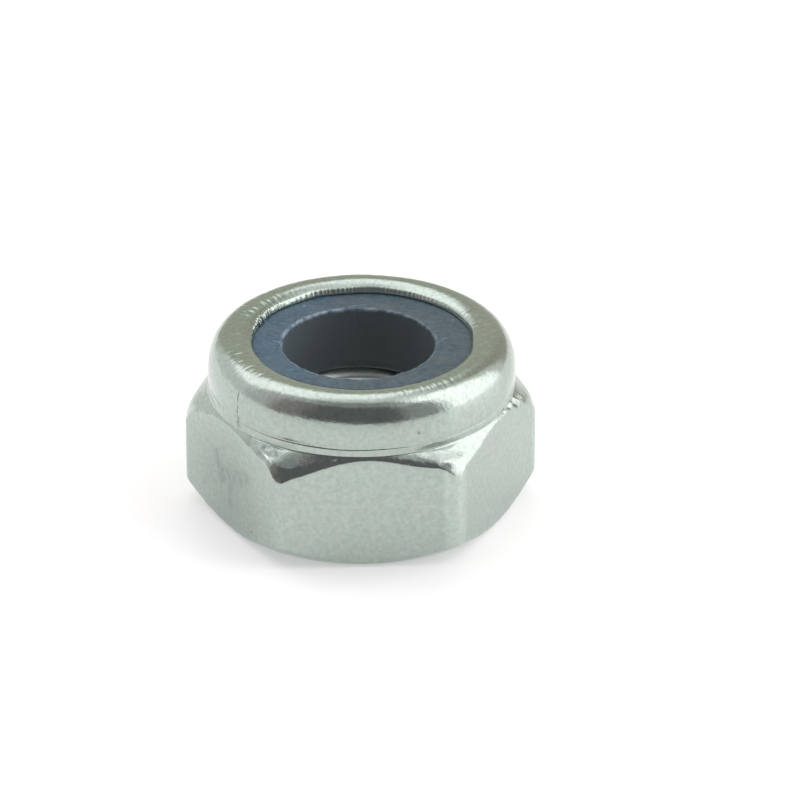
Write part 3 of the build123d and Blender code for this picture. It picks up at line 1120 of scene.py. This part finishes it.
def nylon_material():
    """Blue nylon: dark and a little see-into, with a face scuffed to blue-grey, a pale rim, fine scratches
    and pale specks. Down the bore the colour is a lighter grey, painted light that lifts the bore's shade."""
    material, tree, shader, where = new_material("blue_nylon")
    centred = add_node(tree, "Mapping", {"Vector": where, "Location": (-INSERT_BORE_SHIFT, 0, 0)}).outputs[0]
    side, _, height = add_node(tree, "SeparateXYZ", {0: centred}).outputs
    on_face = ramp(tree, height, *FACE_HEIGHTS)
    lines = place_group(tree, SCRATCHES, Vector=where, Scale=2300.0, Turn=1.3, Fineness=0.008, Patches=0.40)
    lines = times(tree, lines, 0.25)

    face = blend(tree, ramp(tree, side, *BLUER_SIDE), NYLON, NYLON_BLUE)
    fleck = maths(tree, "MULTIPLY_ADD", noise(tree, where, 6500.0, 4.0, 0.65), 2.8, -0.4)
    scuffed = times(tree, on_face, mottle(tree, where, 1300.0, 0.55, 1.0))
    # off the face, this grey paints light into the bore's shade
    colour = blend(tree, scuffed, NYLON_SCUFF_AND_BORE_LIGHT, scaled(tree, face, fleck))
    rim = pale_rim_mask(tree, where, centred, on_face)
    colour = blend(tree, times(tree, rim, 0.75), colour, NYLON_PALE)
    colour = blend(tree, nylon_marks(tree, where, on_face, lines), colour, NYLON_SPECK)

    relief = maths(tree, "ADD", noise(tree, where, 5200.0, 3.0), times(tree, lines, -0.6))
    fill_sockets(tree, shader, {
        "Base Color": colour,
        "IOR": 1.53,
        "Subsurface Weight": 0.25,
        "Subsurface Radius": (0.4, 0.7, 1.0),
        "Subsurface Scale": NYLON_SCATTER,
        "Roughness": mottle(tree, where, 1700.0, 0.34, 0.5),
        "Normal": bumped(tree, relief, NYLON_RELIEF),
    })
    return material


# ------------------------ studio

# soft panels round the part: middle and half width of their bearing, lower and upper edge and the softness
# of their edges, all in degrees, and the colour of their light
PANELS = [
    ("left wall", 146, 34, -60, 31, 5, (0.99, 0.98, 0.99)),
    ("left shade", 188, 13, -60, 66, 4, (0.76, 0.72, 0.74)),
    ("far wall", 84, 36, -60, 45, 6, (0.58, 0.57, 0.49)),
    ("far side wall", 48, 16, -60, 54, 6, (0.52, 0.50, 0.44)),
    ("far corner", 30, 9, -60, 60, 5, (0.98, 0.96, 0.93)),
    ("far top light", 120, 46, 42, 74, 5, (1.78, 1.74, 1.78)),
    ("left top light", 142, 24, 33, 62, 5, (1.82, 1.78, 1.82)),
    ("right top", -4, 30, 55, 78, 7, (1.38, 1.34, 1.38)),
    ("right light", -3, 28, -60, 66, 4, (2.27, 2.18, 2.23)),
    ("front side", -46, 17, -60, 52, 5, (0.47, 0.45, 0.46)),
    ("brown edge", -146, 15, -60, 58, 6, (0.38, 0.32, 0.33)),
    ("dark front", -98, 38, -60, 62, 5, (0.185, 0.18, 0.19)),
]
ROOM = (0.92, 0.92, 0.92, 1)
ZENITH_FAR = (1.08, 1.08, 1.08, 1)
ZENITH_NEAR = (0.38, 0.37, 0.38, 1)
ZENITH_SPLIT = (-0.2, 0.1)  # share of the direction on Y over which the near ceiling turns into the far one
CEILING_START = (50, 72)  # degrees up over which the room turns into the ceiling


def panel_mask(tree, heading, up, bearing, half_width, low, high, softness):
    """1 inside a panel and 0 outside, with smooth edges: the cosine of the bearing from the panel's middle
    and the sine of the elevation are each carried smoothly across the panel's edges."""
    facing = vector_maths(tree, "DOT_PRODUCT", heading, polar(bearing, 1.0))
    across = ramp(tree, facing, *np.cos(np.radians([half_width + softness, half_width - softness])))
    above = ramp(tree, up, *np.sin(np.radians([low - softness, low + softness])))
    below = ramp(tree, up, *np.sin(np.radians([high + softness, high - softness])))
    return times(tree, across, above, below)


def add_world():
    """A studio round the part: a pale room, a lighter ceiling on the far side, and the panels over them."""
    world = bpy.data.worlds.new("soft_studio")
    bpy.context.scene.world = world
    world.use_nodes = True
    tree = world.node_tree
    direction = add_node(tree, "TexCoord").outputs["Generated"]
    heading = vector_maths(tree, "NORMALIZE", level(tree, direction))
    _, far, up = add_node(tree, "SeparateXYZ", {0: direction}).outputs
    zenith = blend(tree, ramp(tree, far, *ZENITH_SPLIT), ZENITH_NEAR, ZENITH_FAR)
    colour = blend(tree, ramp(tree, up, *np.sin(np.radians(CEILING_START))), ROOM, zenith)
    for _, bearing, half_width, low, high, softness, light in PANELS:
        mask = panel_mask(tree, heading, up, bearing, half_width, low, high, softness)
        colour = blend(tree, mask, colour, (*light, 1))
    background = tree.nodes["Background"]
    tree.links.new(colour, background.inputs["Color"])
    background.inputs["Strength"].default_value = 1.0


FLOOR_HALF_WIDTH = 4.0
FLOOR_DROP = 0.002 * MM
FLOOR_ROUGHNESS = 0.35
FLOOR_GLOW = 0.36


def add_floor():
    """A wide white sheet under the part. It glows a little for the camera and for reflections, so that it
    stays white away from the part and keeps the soft shadow beside it."""
    corners = np.array([[-1, -1, 0], [1, -1, 0], [1, 1, 0], [-1, 1, 0]]) * FLOOR_HALF_WIDTH
    corners[:, 2] = -FLOOR_DROP
    floor = add_mesh("studio_floor", corners, [[0, 1, 2, 3]])
    material, tree, shader, where = new_material("white_sheet")
    rays = add_node(tree, "LightPath").outputs
    seen = maths(tree, "MAXIMUM", rays["Is Camera Ray"], rays["Is Glossy Ray"])
    seen = maths(tree, "MAXIMUM", seen, rays["Is Transmission Ray"])
    fill_sockets(tree, shader, {
        "Base Color": mottle(tree, where, 700.0, 0.895, 0.905),
        "Roughness": FLOOR_ROUGHNESS,
        "Emission Color": (1, 1, 1, 1),
        "Emission Strength": times(tree, seen, FLOOR_GLOW),
    })
    floor.data.materials.append(material)


add_plated_nut().data.materials.append(zinc_material())
add_nylon_ring().data.materials.append(nylon_material())
add_floor()
add_world()
add_camera()
bpy.context.scene.view_settings.view_transform = "Standard"
